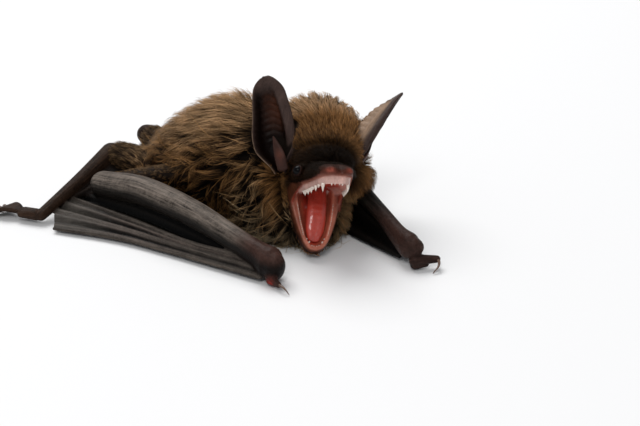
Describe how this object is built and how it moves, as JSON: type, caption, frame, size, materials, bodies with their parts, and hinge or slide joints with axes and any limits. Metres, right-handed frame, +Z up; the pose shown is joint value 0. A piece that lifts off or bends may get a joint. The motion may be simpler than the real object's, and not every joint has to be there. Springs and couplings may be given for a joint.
{
  "type": "crouching bat",
  "caption": "Small mouse-eared bat lying on its belly with folded wings, its head raised and turned and its mouth wide open.",
  "frame": {"origin": "middle of the belly, on the flat it rests on", "axes": "+Z up, -Y towards the nose end of the body, +X towards the bat's left side"},
  "size_m": [0.0513, 0.0622, 0.0231],
  "materials": {
    "fur": "matt brown fur",
    "membrane": "dark naked wing skin with a dull sheen",
    "jaw": "naked face skin and gums",
    "mouth": "wet tongue",
    "eye": "black, wet",
    "claw": "brown horn"
  },
  "bodies": {
    "root": {"abdomen": "fur", "arm_membrane_left": "membrane", "arm_membrane_right": "membrane", "chest": "fur", "ear_left": "membrane", "ear_right": "membrane", "eye_left": "eye", "eye_right": "eye", "finger_3_left": "membrane", "finger_3_right": "membrane", "finger_4_left": "membrane", "finger_4_right": "membrane", "finger_5_left": "membrane", "finger_5_right": "membrane", "foot_left": "membrane", "foot_right": "membrane", "forearm_left": "membrane", "forearm_right": "membrane", "hand_membrane_inner_left": "membrane", "hand_membrane_inner_right": "membrane", "hand_membrane_outer_left": "membrane", "hand_membrane_outer_right": "membrane", "head": "fur", "lower_jaw": "jaw", "muzzle": "jaw", "neck": "fur", "shin_left": "membrane", "shin_right": "membrane", "side_membrane_left": "membrane", "side_membrane_right": "membrane", "tail": "membrane", "tail_membrane_left": "membrane", "tail_membrane_right": "membrane", "thigh_left": "fur", "thigh_right": "fur", "thumb_claw_left": "claw", "thumb_claw_right": "claw", "thumb_left": "membrane", "thumb_right": "membrane", "tongue": "mouth", "tragus_left": "membrane", "tragus_right": "membrane", "upper_arm_left": "membrane", "upper_arm_right": "membrane", "wrist_left": "membrane", "wrist_right": "membrane"}
  },
  "joints": []
}
